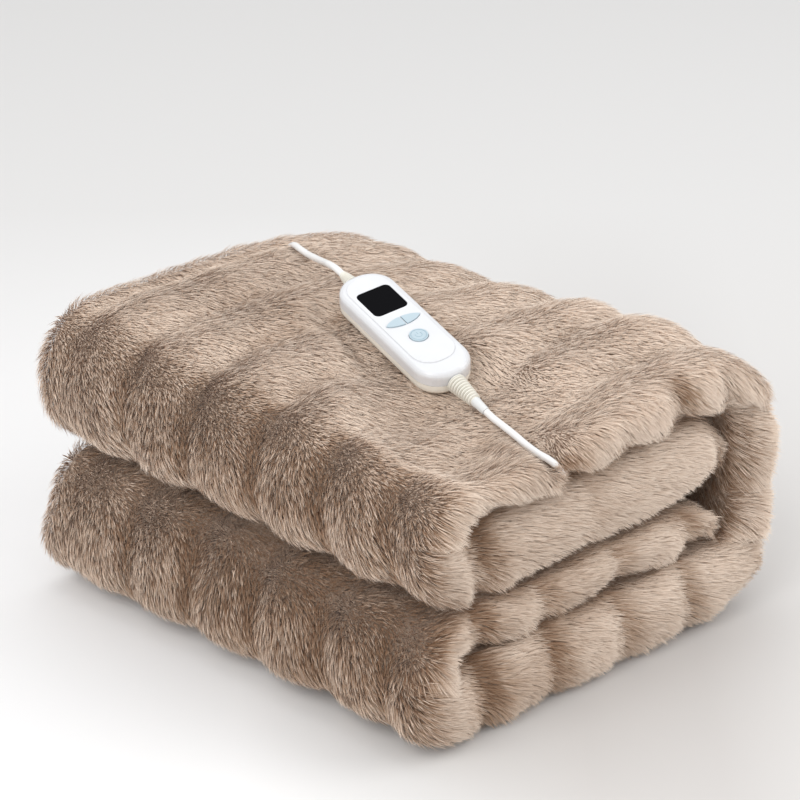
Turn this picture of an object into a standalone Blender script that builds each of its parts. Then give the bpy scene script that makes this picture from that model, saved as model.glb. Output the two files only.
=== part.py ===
"""Electric heated blanket, folded, with its hand controller, cords and plug.

The plush throw is doubled over, so each layer of the stack is two plies joined by a rounded
fold at the -Y face and parted at the +Y face. Both ends of the doubled strip are turned in
and the strip is then closed like a book: seen from -Y its path runs from the free end of the
second layer, round the upper fold on the left, over the top layer, down the big turn on the
right, under the lowest layer, round the lower fold on the left and into the third layer.

Frame: metres, +Z up, origin at the centre of the base, X along the layers' profile, Y along
the folds. The soft solid reaches as far as the pile does.
"""
import math
from collections import namedtuple

import bmesh
import bpy
from mathutils import Matrix, Vector

# ---------------------------------------------------------------- folded stack
FOLD_TIP_X = -0.170          # how far the two left folds reach
TURN_TIP_X = 0.170           # how far the turn on the right reaches
BACK_Y = 0.190               # parted edges of the plies
LAYER_GAP = 0.003            # air between two layers

# Layers from the base up: thickness, and the reach of the doubled front fold
Layer = namedtuple("Layer", "thickness front_y lobe_depth notches_x")
LOWEST = Layer(0.061, -0.1860, 0.009, (-0.165, -0.057, 0.050, 0.105, 0.176))
THIRD = Layer(0.032, -0.1830, 0.006, (-0.138, -0.083, 0.020, 0.066, 0.116))
SECOND = Layer(0.061, -0.1830, 0.006, (-0.143, -0.020, 0.044, 0.121))
TOP = Layer(0.033, -0.1900, 0.013, (-0.154, -0.050, 0.050, 0.123))

LOWEST_FACE = LOWEST.thickness                       # inner face of each layer
THIRD_FACE = LOWEST_FACE + LAYER_GAP
SECOND_FACE = THIRD_FACE + THIRD.thickness + LAYER_GAP + SECOND.thickness
TOP_FACE = SECOND_FACE + LAYER_GAP

FOLD_THICKNESS = 0.0405      # of the doubled cloth at the tip of a left fold
FOLD_RADIUS = LAYER_GAP / 2
FOLD_X = FOLD_TIP_X + FOLD_THICKNESS + FOLD_RADIUS
TURN_THICKNESS = 0.046
TURN_FACE_X = TURN_TIP_X - TURN_THICKNESS
TURN_TOP_RADIUS = 0.034
TURN_BASE_RADIUS = 0.020

# Rounded free ends inside the turn: place, retreat of the inner face, thickness
EndStep = namedtuple("EndStep", "x face_shift thickness")
SECOND_END = (EndStep(0.1180, -0.024, 0.026), EndStep(0.1120, -0.013, 0.042),
              EndStep(0.1000, -0.005, 0.053))
THIRD_END = (EndStep(0.0900, 0.001, 0.030), EndStep(0.0990, 0.004, 0.024),
             EndStep(0.1045, 0.009, 0.014))

# Ruched pile: creases run along X, over the top and round every outer turn
RIDGE_PITCH = 0.0627
CREASE_Y = -0.1397
CREASE_DEPTH = 0.0075
WANDER = 0.005               # sideways wander of the creases
PUCKER = 0.0016              # shallow swelling along each ridge
PUCKER_PITCH = 0.068

SLOT_HALF = 0.024            # half of the gap between the plies, as a share of the layer
FRONT_ROUND = 0.020          # radius of the doubled front fold
FOLD_SQUARENESS = 2.7        # exponent of the folds' outline, 2 being round
BASE_SQUARENESS = 3.6        # the same where the stack's weight spreads the lowest turns
PLY_ROUND = 0.006            # rounding of the parted back edges

# The parted crease that the lead lies in: its two ends, half width and greatest depth as a
# share of the top layer
LEAD_CREASE_START, LEAD_CREASE_END = (-0.0300, -0.080), (-0.0535, -0.170)
LEAD_CREASE_HALF, LEAD_CREASE_DEPTH = 0.016, 0.75
SADDLE = 0.042               # share by which the stack is lower or higher at its corners

# Where the stack swells: towards the back, and under the controller's far end
Swell = namedtuple("Swell", "x y spread share")
SWELLS = (Swell(-0.010, 0.100, 0.075, 0.050), Swell(0.000, 0.054, 0.032, 0.042))

# ---------------------------------------------------------------- hand controller
# Local axes: X along the body towards the blanket's lead, Z out of the face, origin in the
# middle of the parting plane.
BODY_LENGTH, BODY_WIDTH = 0.1236, 0.0408
LOWER_HEIGHT, UPPER_HEIGHT = 0.0085, 0.0095
BODY_CORNER, LOWER_EDGE, UPPER_EDGE = 0.0185, 0.0055, 0.0040
PANEL_INSET, PANEL_RISE = 0.0045, 0.0008
BODY_CENTRE = (-0.0199, -0.0098, 0.2030)
BODY_HEADING = math.radians(-100.0)
BODY_PITCH = math.radians(13.7)
BODY_ROLL = math.radians(10.2)
FIT = 0.0003                 # clearance between any two pieces

WINDOW_LENGTH, WINDOW_WIDTH, WINDOW_CORNER, WINDOW_DEPTH = 0.0275, 0.0255, 0.0038, 0.0012
WINDOW_X = -0.0270
ARROWS_X, ARROW_HALF_SPAN, ARROW_HALF_HEIGHT, ARROW_SPLIT = -0.0008, 0.0132, 0.0043, 0.0013
POWER_X, POWER_RADIUS = 0.0180, 0.0064
BUTTON_HEIGHT, BUTTON_PROUD, BUTTON_WELL = 0.0022, 0.0008, 0.0027

# ---------------------------------------------------------------- cords and plug
CORD_D = 0.0048
# Turned strain reliefs: distance from the root, radius
LEAD_RELIEF = ((0.0000, 0.0066), (0.0220, 0.0044), (0.0240, 0.0035), (0.0350, 0.0029))
MAINS_RELIEF = ((0.0000, 0.0054), (0.0040, 0.0052), (0.0150, 0.0030))

# Hollows that the controller and its two reliefs press into the pile, in the controller's
# local axes: the stretch along X, the half width and the depth below the parting plane
Hollow = namedtuple("Hollow", "start end half_width depth")
PRESS_MARGIN, PRESS_SLOPE, PRESS_CLEARANCE, PRESS_LIMIT = 0.012, 0.6, 0.0008, 0.5
LEAST_SHARE = 0.15           # of the top layer, however hard it is pressed
HOLLOWS = (Hollow(-BODY_LENGTH / 2, BODY_LENGTH / 2, BODY_WIDTH / 2, LOWER_HEIGHT),
           Hollow(BODY_LENGTH / 2, BODY_LENGTH / 2 + 0.034, 0.0066, 0.0060),
           Hollow(-BODY_LENGTH / 2 - 0.016, -BODY_LENGTH / 2, 0.0054, 0.0054))

def principled(name, colour, roughness, metallic=0.0, sheen=0.0):
    material = bpy.data.materials.new(name)
    material.use_nodes = True
    shader = material.node_tree.nodes["Principled BSDF"]
    shader.inputs["Base Color"].default_value = (*colour, 1.0)
    shader.inputs["Roughness"].default_value = roughness
    shader.inputs["Metallic"].default_value = metallic
    shader.inputs["Sheen Weight"].default_value = sheen
    return material


def add_object(name, mesh, material, collection):
    obj = bpy.data.objects.new(name, mesh)
    collection.objects.link(obj)
    obj.data.materials.append(material)
    return obj


# ---------------------------------------------------------------- the blanket's path
# A station is a place on the inner face, the direction out to the outer face, the layer's
# thickness there, the depth of the creases and the reach of the front fold.
Station = namedtuple("Station", "x z out_x out_z thickness relief front")


def front_reach(layer, x):
    """The front fold swells between its notches."""
    notches = layer.notches_x
    for left, right in zip(notches, notches[1:]):
        if left <= x <= right:
            across = (x - left) / (right - left)
            return layer.front_y + layer.lobe_depth * (1 - math.sqrt(4 * across * (1 - across)))
    return layer.front_y + layer.lobe_depth


def run(layer, face_z, out_z, x_values, relief):
    return [Station(x, face_z, 0.0, out_z, layer.thickness, relief, front_reach(layer, x))
            for x in x_values]


def spread(start, end, count):
    return [start + (end - start) * i / (count - 1) for i in range(count)]


def turn(centre, radius, angles, thickness, relief, fronts, squareness=lambda angle: 2.0):
    """Stations round a turn; thickness is (first, middle, last)."""
    first, middle, last = thickness
    stations = []
    for i, angle in enumerate(angles):
        share = (i + 1) / (len(angles) + 1)
        swell = (first * (1 - share) * (1 - 2 * share) + middle * 4 * share * (1 - share)
                 + last * share * (2 * share - 1))
        out_x, out_z = math.cos(math.radians(angle)), math.sin(math.radians(angle))
        power = squareness(angle)
        bulge = (abs(out_x) ** power + abs(out_z) ** power) ** (-1 / power)
        swell = (swell + radius) * bulge - radius
        stations.append(Station(centre[0] + radius * out_x, centre[1] + radius * out_z,
                                out_x, out_z, swell, relief[0] + (relief[1] - relief[0]) * share,
                                fronts[0] + (fronts[1] - fronts[0]) * share))
    return stations


def blanket_path():
    fold_angles = (252, 234, 216, 198, 180, 162, 144, 126, 108)
    path = []
    for step in SECOND_END:
        path.append(Station(step.x, SECOND_FACE + step.face_shift, 0.0, -1.0, step.thickness,
                            0.0, front_reach(SECOND, step.x)))
    path += run(SECOND, SECOND_FACE, -1.0, spread(0.078, FOLD_X, 8), 0.0)
    path += turn((FOLD_X, SECOND_FACE + FOLD_RADIUS), FOLD_RADIUS, fold_angles,
                 (SECOND.thickness, FOLD_THICKNESS, TOP.thickness), (0.6, 1.0),
                 (front_reach(SECOND, FOLD_X), front_reach(TOP, FOLD_X)),
                 lambda angle: FOLD_SQUARENESS if angle > 180 else 2.2)
    top_x = (FOLD_X, -0.107, -0.087, -0.073, -0.063, -0.055, -0.047, -0.039, -0.028, -0.014,
             0.0, 0.016, 0.033, 0.050, 0.070)
    path += run(TOP, TOP_FACE, 1.0, top_x, 1.0)
    path += turn((TURN_FACE_X - TURN_TOP_RADIUS, TOP_FACE - TURN_TOP_RADIUS), TURN_TOP_RADIUS,
                 (86, 66, 46, 26, 6), (TOP.thickness, 0.038, TURN_THICKNESS), (1.0, 1.0),
                 (front_reach(TOP, 0.072), TOP.front_y + 0.004))
    path += [Station(TURN_FACE_X, z, 1.0, 0.0, TURN_THICKNESS, 1.0, TOP.front_y + 0.005)
             for z in (0.104, 0.086)]
    path += turn((TURN_FACE_X - TURN_BASE_RADIUS, LOWEST_FACE + TURN_BASE_RADIUS),
                 TURN_BASE_RADIUS, (-6, -26, -46, -66, -86),
                 (TURN_THICKNESS, 0.053, LOWEST.thickness), (1.0, 0.0),
                 (TOP.front_y + 0.006, front_reach(LOWEST, 0.088)),
                 lambda angle: 2.6)
    path += run(LOWEST, LOWEST_FACE, -1.0, spread(0.088, FOLD_X, 8), 0.0)
    path += turn((FOLD_X, LOWEST_FACE + FOLD_RADIUS), FOLD_RADIUS, fold_angles,
                 (LOWEST.thickness, FOLD_THICKNESS, THIRD.thickness), (0.6, 0.8),
                 (front_reach(LOWEST, FOLD_X), front_reach(THIRD, FOLD_X)),
                 lambda angle: BASE_SQUARENESS if angle > 180 else FOLD_SQUARENESS)
    path += run(THIRD, THIRD_FACE, 1.0, spread(FOLD_X, 0.076, 8), 0.0)
    for step in THIRD_END:
        path.append(Station(step.x, THIRD_FACE + step.face_shift, 0.0, 1.0, step.thickness,
                            0.0, front_reach(THIRD, step.x)))
    return path


def sink(y):
    """0 on the crest of a ridge, 1 in the crease between two."""
    return 1.0 - abs(math.sin(math.pi * (y - CREASE_Y) / RIDGE_PITCH))


def lead_crease(x, y):
    """Share of the top layer that is parted by the controller's lead."""
    (start_x, start_y), (end_x, end_y) = LEAD_CREASE_START, LEAD_CREASE_END
    along = min(1.0, max(0.0, (start_y - y) / (start_y - end_y)))
    across = (x - start_x - (end_x - start_x) * along) / LEAD_CREASE_HALF
    return LEAD_CREASE_DEPTH * math.sin(along * math.pi / 2) * math.exp(-across ** 2)


def ply_outline(station):
    """Points (y, share of the thickness, on the outer face) once round the doubled ply."""
    quarter = RIDGE_PITCH / 4
    rows = [CREASE_Y + RIDGE_PITCH * 5 - quarter * i for i in range(22)]
    radius = min(FRONT_ROUND, station.thickness / 2)
    slot_end = station.front + radius
    edge = PLY_ROUND / max(station.thickness, 0.03)
    upper, lower = 0.5 + SLOT_HALF, 0.5 - SLOT_HALF
    points = [(y, 1.0, True) for y in rows]
    for angle in (66, 33, 0, -33, -66):
        turned = math.radians(angle)
        points.append((station.front + radius * (1 - math.cos(turned)),
                       0.5 + 0.5 * math.sin(turned), False))
    points += [(y, 0.0, False) for y in spread(station.front + radius + 0.004, BACK_Y - 0.006, 8)]
    points += [(BACK_Y, edge, False), (BACK_Y, lower - edge / 2, False)]
    points += [(y, lower, False) for y in spread(BACK_Y - 0.003, slot_end, 12)]
    points += [(y, upper, False) for y in spread(slot_end, BACK_Y - 0.003, 12)]
    points += [(BACK_Y, upper + edge / 2, False), (BACK_Y, 1.0 - edge, False),
               (BACK_Y - 0.004, 1.0, False)]
    return points


def settle(point):
    """The near left and far right corners have sunk, and the stack swells in places."""
    share = -SADDLE * (point.x / TURN_TIP_X) * (point.y / BACK_Y)
    for swell in SWELLS:
        away = ((point.x - swell.x) ** 2 + (point.y - swell.y) ** 2) / swell.spread ** 2
        share += swell.share * math.exp(-away / 2)
    point.z *= 1.0 + share


def controller_frame():
    return (Matrix.Translation(BODY_CENTRE) @ Matrix.Rotation(BODY_HEADING, 4, "Z")
            @ Matrix.Rotation(BODY_PITCH, 4, "Y") @ Matrix.Rotation(BODY_ROLL, 4, "X"))


def kept_share(station, y, frame, inverse):
    """Share of the top layer left under the controller, its reliefs and its lead."""
    face = Vector((station.x, y, station.z))
    crest = Vector((station.x, y, station.z + station.thickness))
    settle(face)
    settle(crest)
    full = crest.z - face.z
    crest.z -= full * lead_crease(station.x, y)
    local = inverse @ crest
    ceiling = PRESS_LIMIT
    for hollow in HOLLOWS:
        beyond = max(hollow.start - local.x, local.x - hollow.end,
                     abs(local.y) - hollow.half_width, 0.0)
        ceiling = min(ceiling, PRESS_SLOPE * max(0.0, beyond - PRESS_MARGIN)
                      - hollow.depth - PRESS_CLEARANCE)
    drop = max(0.0, local.z - ceiling) / frame.col[2].z
    return max(LEAST_SHARE, (crest.z - drop - face.z) / full)


def blanket_mesh():
    frame = controller_frame()
    inverse = frame.inverted()
    mesh = bmesh.new()
    rings = []
    travelled = 0.0
    previous = None
    for station in blanket_path():
        middle = Vector((station.x + station.out_x * station.thickness / 2, 0.0,
                         station.z + station.out_z * station.thickness / 2))
        travelled += (middle - previous).length if previous else 0.0
        previous = middle
        drift = WANDER * (math.sin(travelled * 17 + 0.6) + 0.5 * math.sin(travelled * 41))
        swell = PUCKER * math.cos(2 * math.pi * travelled / PUCKER_PITCH)
        ring = []
        for y, share, outer in ply_outline(station):
            reach = station.thickness * share
            if outer:
                reach -= station.relief * (CREASE_DEPTH * sink(y) - swell * (1 - sink(y)))
            y += drift * share * max(0.0, 1.0 - (y / BACK_Y) ** 6)
            if station.z == TOP_FACE:
                reach *= kept_share(station, y, frame, inverse)
            point = Vector((station.x + station.out_x * reach, y,
                            station.z + station.out_z * reach))
            settle(point)
            ring.append(mesh.verts.new(point))
        rings.append(ring)
    count = len(rings[0])
    for ring, following in zip(rings, rings[1:]):
        for i in range(count):
            j = (i + 1) % count
            mesh.faces.new((ring[i], ring[j], following[j], following[i]))
    mesh.faces.new(list(reversed(rings[0])))
    mesh.faces.new(rings[-1])
    bmesh.ops.recalc_face_normals(mesh, faces=mesh.faces)
    data = bpy.data.meshes.new("blanket")
    mesh.to_mesh(data)
    mesh.free()
    data.shade_smooth()
    return data


# ---------------------------------------------------------------- shared shapes
def remove_object(obj):
    bpy.data.objects.remove(obj, do_unlink=True)


def mesh_from(build, name):
    """A mesh datablock from a function that fills a bmesh."""
    mesh = bmesh.new()
    build(mesh)
    bmesh.ops.recalc_face_normals(mesh, faces=mesh.faces)
    data = bpy.data.meshes.new(name)
    mesh.to_mesh(data)
    mesh.free()
    return data


def rounded_slab(size, low, high, corner, top_edge=0.0, base_edge=0.0, centre_x=0.0):
    """A block from low to high with round corners in plan and rounded top or base edges."""
    def build(mesh):
        bmesh.ops.create_cube(mesh, size=1.0)
        for vertex in mesh.verts:
            vertex.co.x = vertex.co.x * size[0] + centre_x
            vertex.co.y *= size[1]
            vertex.co.z = high if vertex.co.z > 0 else low
        upright = [edge for edge in mesh.edges
                   if abs(edge.verts[0].co.z - edge.verts[1].co.z) > 1e-6]
        bmesh.ops.bevel(mesh, geom=upright, offset=corner, segments=8, affect="EDGES",
                        profile=0.5)
        for level, offset in ((high, top_edge), (low, base_edge)):
            if offset:
                rim = [edge for edge in mesh.edges
                       if all(abs(vertex.co.z - level) < 1e-6 for vertex in edge.verts)]
                bmesh.ops.bevel(mesh, geom=rim, offset=offset, segments=4, affect="EDGES",
                                profile=0.5)
    return mesh_from(build, "slab")


def disc(radius, low, high, centre_x, sides=32):
    def build(mesh):
        bmesh.ops.create_cone(mesh, cap_ends=True, segments=sides, radius1=radius,
                              radius2=radius, depth=high - low)
        for vertex in mesh.verts:
            vertex.co.x += centre_x
            vertex.co.z += (high + low) / 2
    return mesh_from(build, "disc")


def plate(points, low, high):
    """A flat outline given a thickness: a filled 2D curve, made a closed mesh."""
    curve = bpy.data.curves.new("outline", "CURVE")
    curve.dimensions = "2D"
    curve.fill_mode = "BOTH"
    curve.extrude = (high - low) / 2
    spline = curve.splines.new("POLY")
    spline.points.add(len(points) - 1)
    for target, (x, y) in zip(spline.points, points):
        target.co = (x, y, 0.0, 1.0)
    spline.use_cyclic_u = True
    guide = bpy.data.objects.new("outline", curve)
    bpy.context.scene.collection.objects.link(guide)
    evaluated = guide.evaluated_get(bpy.context.evaluated_depsgraph_get())
    data = bpy.data.meshes.new_from_object(evaluated)
    remove_object(guide)
    mesh = bmesh.new()
    mesh.from_mesh(data)
    bmesh.ops.remove_doubles(mesh, verts=mesh.verts, dist=0.00001)
    for vertex in mesh.verts:
        vertex.co.z += (high + low) / 2
    bmesh.ops.recalc_face_normals(mesh, faces=mesh.faces)
    mesh.to_mesh(data)
    mesh.free()
    return data


def arrow_outline(side, grow):
    """One half of the lens-shaped pair of buttons; side is 1 or -1 along Y."""
    inner, outer = ARROW_SPLIT / 2 - grow, ARROW_HALF_SPAN + grow
    ys = spread(inner, outer, 9)
    half = [(ARROW_HALF_HEIGHT + grow) * (1 - (y / outer) ** 2) ** 0.75 for y in ys]
    lower = [(ARROWS_X - h, side * y) for y, h in zip(ys, half)]
    upper = [(ARROWS_X + h, side * y) for y, h in zip(ys[:-1], half[:-1])]
    return lower + upper[::-1]


def cut(target, cutter):
    """Take the cutter's shape out of the target."""
    modifier = target.modifiers.new("cut", "BOOLEAN")
    modifier.operation = "DIFFERENCE"
    modifier.solver = "EXACT"
    modifier.object = cutter


def join_shape(target, other):
    modifier = target.modifiers.new("join", "BOOLEAN")
    modifier.operation = "UNION"
    modifier.solver = "EXACT"
    modifier.object = other


def smooth_route(points, spacing):
    """Points a set distance apart on a smooth curve through the route's own points."""
    route = [Vector(point) for point in points]
    route = [2 * route[0] - route[1]] + route + [2 * route[-1] - route[-2]]
    fine = []
    for before, start, end, after in zip(route, route[1:], route[2:], route[3:]):
        for i in range(24):
            t = i / 24
            fine.append(0.5 * ((2 * start) + (end - before) * t
                               + (2 * before - 5 * start + 4 * end - after) * t ** 2
                               + (3 * start - before - 3 * end + after) * t ** 3))
    fine.append(route[-2])
    total = sum((b - a).length for a, b in zip(fine, fine[1:]))
    count = max(2, round(total / spacing))
    result, walked, target = [fine[0]], 0.0, total / count
    for a, b in zip(fine, fine[1:]):
        length = (b - a).length
        while walked + length >= target and len(result) < count:
            result.append(a.lerp(b, (target - walked) / length))
            target += total / count
        walked += length
    return result + [fine[-1]]


def cord_tube(name, points, material, collection):
    curve = bpy.data.curves.new(name, "CURVE")
    curve.dimensions = "3D"
    curve.bevel_depth = CORD_D / 2
    curve.bevel_resolution = 2
    curve.use_fill_caps = True
    path = smooth_route(points, CORD_D * 2.4)
    spline = curve.splines.new("POLY")
    spline.points.add(len(path) - 1)
    for target, point in zip(spline.points, path):
        target.co = (*point, 1.0)
    obj = bpy.data.objects.new(name, curve)
    collection.objects.link(obj)
    obj.data.materials.append(material)
    return obj


def turned(name, profile, matrix, material, collection, segments=20):
    """A profile of (height, radius) turned about local Z, from the top down."""
    data = bpy.data.meshes.new(name)
    points = [(radius, 0.0, height) for height, radius in profile]
    data.from_pydata(points, [(i, i + 1) for i in range(len(points) - 1)], [])
    obj = add_object(name, data, material, collection)
    obj.matrix_world = matrix
    screw = obj.modifiers.new("turn", "SCREW")
    screw.steps = segments
    screw.render_steps = segments
    screw.use_merge_vertices = True
    screw.merge_threshold = 0.00002
    screw.use_smooth_shade = True
    return obj


# ---------------------------------------------------------------- the controller
def build_controller(collection, cutters, materials):
    frame = controller_frame()
    face = UPPER_HEIGHT + PANEL_RISE
    size = (BODY_LENGTH, BODY_WIDTH)
    lower = add_object("controller_lower_shell",
                       rounded_slab(size, -LOWER_HEIGHT, -FIT / 2, BODY_CORNER,
                                    base_edge=LOWER_EDGE),
                       materials["shell"], collection)
    upper = add_object("controller_upper_shell",
                       rounded_slab(size, FIT / 2, UPPER_HEIGHT, BODY_CORNER,
                                    top_edge=UPPER_EDGE),
                       materials["shell"], collection)
    panel = add_object("panel_shape",
                       rounded_slab((BODY_LENGTH - 4.4 * PANEL_INSET,
                                     BODY_WIDTH - 2 * PANEL_INSET),
                                    UPPER_HEIGHT - 0.002, face, BODY_CORNER - PANEL_INSET,
                                    top_edge=PANEL_RISE * 0.8, centre_x=-PANEL_INSET),
                       materials["shell"], cutters)
    join_shape(upper, panel)

    pieces = [lower, upper, panel]
    window_size = (WINDOW_LENGTH, WINDOW_WIDTH)
    window = add_object("display_window",
                        rounded_slab(window_size, face - WINDOW_DEPTH + FIT, face,
                                     WINDOW_CORNER, centre_x=WINDOW_X),
                        materials["window"], collection)
    recess = add_object("window_recess",
                        rounded_slab((WINDOW_LENGTH + 2 * FIT, WINDOW_WIDTH + 2 * FIT),
                                     face - WINDOW_DEPTH, face + 0.001,
                                     WINDOW_CORNER + FIT, centre_x=WINDOW_X),
                        materials["window"], cutters)
    pieces += [window, recess]
    cut(upper, recess)

    base, top = face + BUTTON_PROUD - BUTTON_HEIGHT, face + BUTTON_PROUD
    well = face - BUTTON_WELL
    for name, side in (("button_warmer", -1), ("button_cooler", 1)):
        button = add_object(name, plate(arrow_outline(side, 0.0), base, top),
                            materials["button"], collection)
        pocket = add_object(name + "_well", plate(arrow_outline(side, FIT), well, face + 0.001),
                            materials["button"], cutters)
        pieces += [button, pocket]
        cut(upper, pocket)
    power = add_object("button_power", disc(POWER_RADIUS, base, top, POWER_X),
                       materials["button"], collection)
    pocket = add_object("power_well", disc(POWER_RADIUS + FIT, well, face + 0.001, POWER_X),
                        materials["button"], cutters)
    pieces += [power, pocket]
    cut(upper, pocket)
    for piece in pieces:
        piece.matrix_world = frame


def relief_profile(steps):
    """Outline of a strain relief from its tip to its root, closed on the axis."""
    return ([(steps[-1][0], 0.0)] + [step for step in reversed(steps)] + [(steps[0][0], 0.0)])


def relief_matrix(side):
    """At the end of the body that side names, pointing away from it."""
    seat = Matrix.Translation((side * (BODY_LENGTH / 2 + FIT), 0.0, 0.0))
    return controller_frame() @ seat @ Matrix.Rotation(side * math.pi / 2, 4, "Y")


def relief_tip(side, steps):
    return relief_matrix(side) @ Vector((0.0, 0.0, steps[-1][0] + FIT))


# ---------------------------------------------------------------- cords, coil and plug
COIL_CENTRE = (0.055, 0.2460)
COIL_RADIUS = 0.0275         # at the middle of the turns
COIL_HALF_WIDTH, COIL_HEIGHT = 0.0085, 0.0190
FLOOR_GAP = 0.0012
TIE_THICKNESS, TIE_WIDTH, TIE_EASE = 0.0008, 0.008, 0.0008
TIE_ANGLE = math.radians(200.0)

PLUG_CENTRE = (0.1300, 0.2278)
PLUG_HEADING = math.radians(-90.0)
PLUG_SIZE = (0.026, 0.022)
PLUG_HEIGHT = 0.0165
BLADE = (0.0165, 0.0015, 0.0063)
BLADE_HALF_PITCH = 0.00635
PLUG_RELIEF = ((0.0000, 0.0048), (0.0040, 0.0045), (0.0200, 0.0030))


def plug_frame():
    return (Matrix.Translation((*PLUG_CENTRE, PLUG_HEIGHT / 2 + FIT))
            @ Matrix.Rotation(PLUG_HEADING, 4, "Z"))


def build_coil(collection, materials):
    half, height = COIL_HALF_WIDTH, COIL_HEIGHT
    bevel = 0.004
    outline = [(-half + bevel, height), (half - bevel, height), (half, height - bevel),
               (half, bevel), (half - bevel, 0.0), (-half + bevel, 0.0), (-half, bevel),
               (-half, height - bevel)]
    profile = [(z, COIL_RADIUS + r) for r, z in outline] + [(height, COIL_RADIUS - half + bevel)]
    place = Matrix.Translation((*COIL_CENTRE, FLOOR_GAP + FIT))
    turned("mains_cord_coil", profile, place, materials["cord"], collection, segments=32)

    band = TIE_THICKNESS
    centre = Vector((*COIL_CENTRE, FLOOR_GAP + FIT + height / 2))
    direction = Vector((math.cos(TIE_ANGLE), math.sin(TIE_ANGLE), 0.0))

    def build(mesh):
        for grow in (band, 0.0):
            x_half, z_half = half + TIE_EASE + grow, height / 2 + FIT + grow
            loop = [(-x_half, -z_half), (x_half, -z_half), (x_half, z_half), (-x_half, z_half)]
            for y in (-TIE_WIDTH / 2, TIE_WIDTH / 2):
                for x, z in loop:
                    mesh.verts.new((x, y, z))
        mesh.verts.ensure_lookup_table()
        outer_a, outer_b, inner_a, inner_b = (mesh.verts[i:i + 4] for i in (0, 4, 8, 12))
        for i in range(4):
            j = (i + 1) % 4
            mesh.faces.new((outer_a[i], outer_a[j], outer_b[j], outer_b[i]))
            mesh.faces.new((inner_a[j], inner_a[i], inner_b[i], inner_b[j]))
            mesh.faces.new((outer_a[j], outer_a[i], inner_a[i], inner_a[j]))
            mesh.faces.new((outer_b[i], outer_b[j], inner_b[j], inner_b[i]))

    tie = add_object("cord_tie", mesh_from(build, "tie"), materials["tie"], collection)
    tie.matrix_world = (Matrix.Translation(centre + direction * COIL_RADIUS)
                        @ Matrix.Rotation(TIE_ANGLE, 4, "Z"))


def build_plug(collection, materials):
    frame = plug_frame()
    body = add_object("plug_body",
                      rounded_slab(PLUG_SIZE, -PLUG_HEIGHT / 2, PLUG_HEIGHT / 2, 0.005,
                                   top_edge=0.004, base_edge=0.004),
                      materials["cord"], collection)
    body.matrix_world = frame
    for name, side in (("plug_blade_a", -1), ("plug_blade_b", 1)):
        blade = add_object(name, rounded_slab((BLADE[0], BLADE[1]), -BLADE[2] / 2, BLADE[2] / 2,
                                              0.0004, centre_x=BLADE[0] / 2),
                           materials["brass"], collection)
        blade.matrix_world = (frame @ Matrix.Translation((PLUG_SIZE[0] / 2 + FIT,
                                                          side * BLADE_HALF_PITCH, 0.0)))
    place = (frame @ Matrix.Translation((-PLUG_SIZE[0] / 2 - FIT, 0.0, 0.0))
             @ Matrix.Rotation(-math.pi / 2, 4, "Y"))
    turned("plug_relief", relief_profile(PLUG_RELIEF), place, materials["cord"], collection)
    return place @ Vector((0.0, 0.0, PLUG_RELIEF[-1][0] + FIT))


# From the ribbed relief along the crease, over the front and in under the top layer
LEAD_ROUTE = (
    (-0.0378, -0.1116, 0.1780), (-0.0402, -0.1205, 0.1776), (-0.0458, -0.1378, 0.1774),
    (-0.0508, -0.1532, 0.1767), (-0.0532, -0.1669, 0.1756), (-0.0522, -0.1774, 0.1738),
    (-0.0478, -0.1852, 0.1709), (-0.0428, -0.1893, 0.1670), (-0.0365, -0.1908, 0.1630),
    (-0.0295, -0.1896, 0.1600), (-0.0225, -0.1860, 0.1582), (-0.0155, -0.1815, 0.1574),
)
# From the small relief over the back edge, down the parted plies and round to the coil
MAINS_ROUTE = (
    (-0.0054, 0.0725, 0.2232), (-0.0005, 0.0845, 0.2215), (0.0085, 0.0990, 0.2168),
    (0.0195, 0.1190, 0.2112), (0.0280, 0.1380, 0.2074), (0.0335, 0.1520, 0.2062),
    (0.0402, 0.1660, 0.2042), (0.0455, 0.1765, 0.2022), (0.0496, 0.1855, 0.2006),
    (0.0533, 0.1935, 0.1976), (0.0558, 0.1995, 0.1926), (0.0578, 0.2032, 0.1850),
    (0.0590, 0.2038, 0.1750), (0.0604, 0.2022, 0.1620), (0.0623, 0.1985, 0.1440),
    (0.0655, 0.1955, 0.1170), (0.0695, 0.1945, 0.0920), (0.0750, 0.1960, 0.0640),
    (0.0805, 0.2000, 0.0400), (0.0860, 0.2070, 0.0205), (0.0905, 0.2175, 0.0085),
    (0.0928, 0.2300, 0.0036), (0.0924, 0.2460, 0.0030),
)
# Off the top of the coil and round to the plug's relief
TAIL_ROUTE = (
    (0.0800, 0.2400, 0.0234), (0.0862, 0.2540, 0.0234), (0.0910, 0.2670, 0.0212),
    (0.0936, 0.2768, 0.0178), (0.1008, 0.2839, 0.0135), (0.1105, 0.2865, 0.0098),
    (0.1203, 0.2839, 0.0078), (0.1274, 0.2768, 0.0076), (0.1298, 0.2690, 0.0084),
)


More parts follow.
